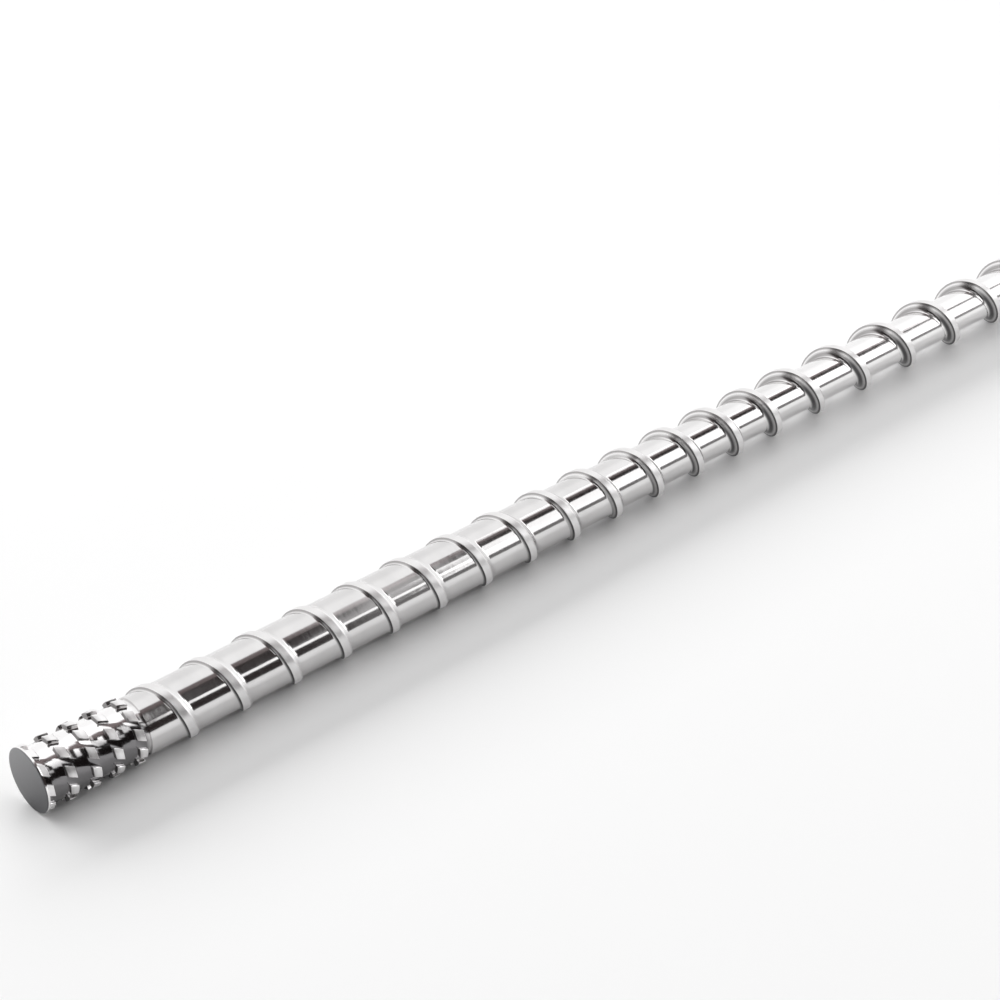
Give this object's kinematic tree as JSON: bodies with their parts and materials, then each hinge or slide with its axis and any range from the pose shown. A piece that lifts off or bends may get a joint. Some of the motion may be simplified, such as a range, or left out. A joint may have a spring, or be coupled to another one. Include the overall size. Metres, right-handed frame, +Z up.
{
  "type": "extruder screw",
  "caption": "Polished steel extruder screw: a right-hand flight on a tapering root conveys and melts plastic, a slotted-ring head at the tip mixes it, and a keyed shank drives it.",
  "frame": {"origin": "on the screw's axis, halfway between the tip face and the end of the shank", "axes": "X along the screw's axis with +X towards the tip, +Z up, the screw lying level, the keyway on top of the shank"},
  "size_m": [1.53, 0.06, 0.06],
  "materials": {
    "polished_steel": "polished"
  },
  "bodies": {
    "root": {"extruder_screw": "polished_steel"}
  },
  "joints": []
}
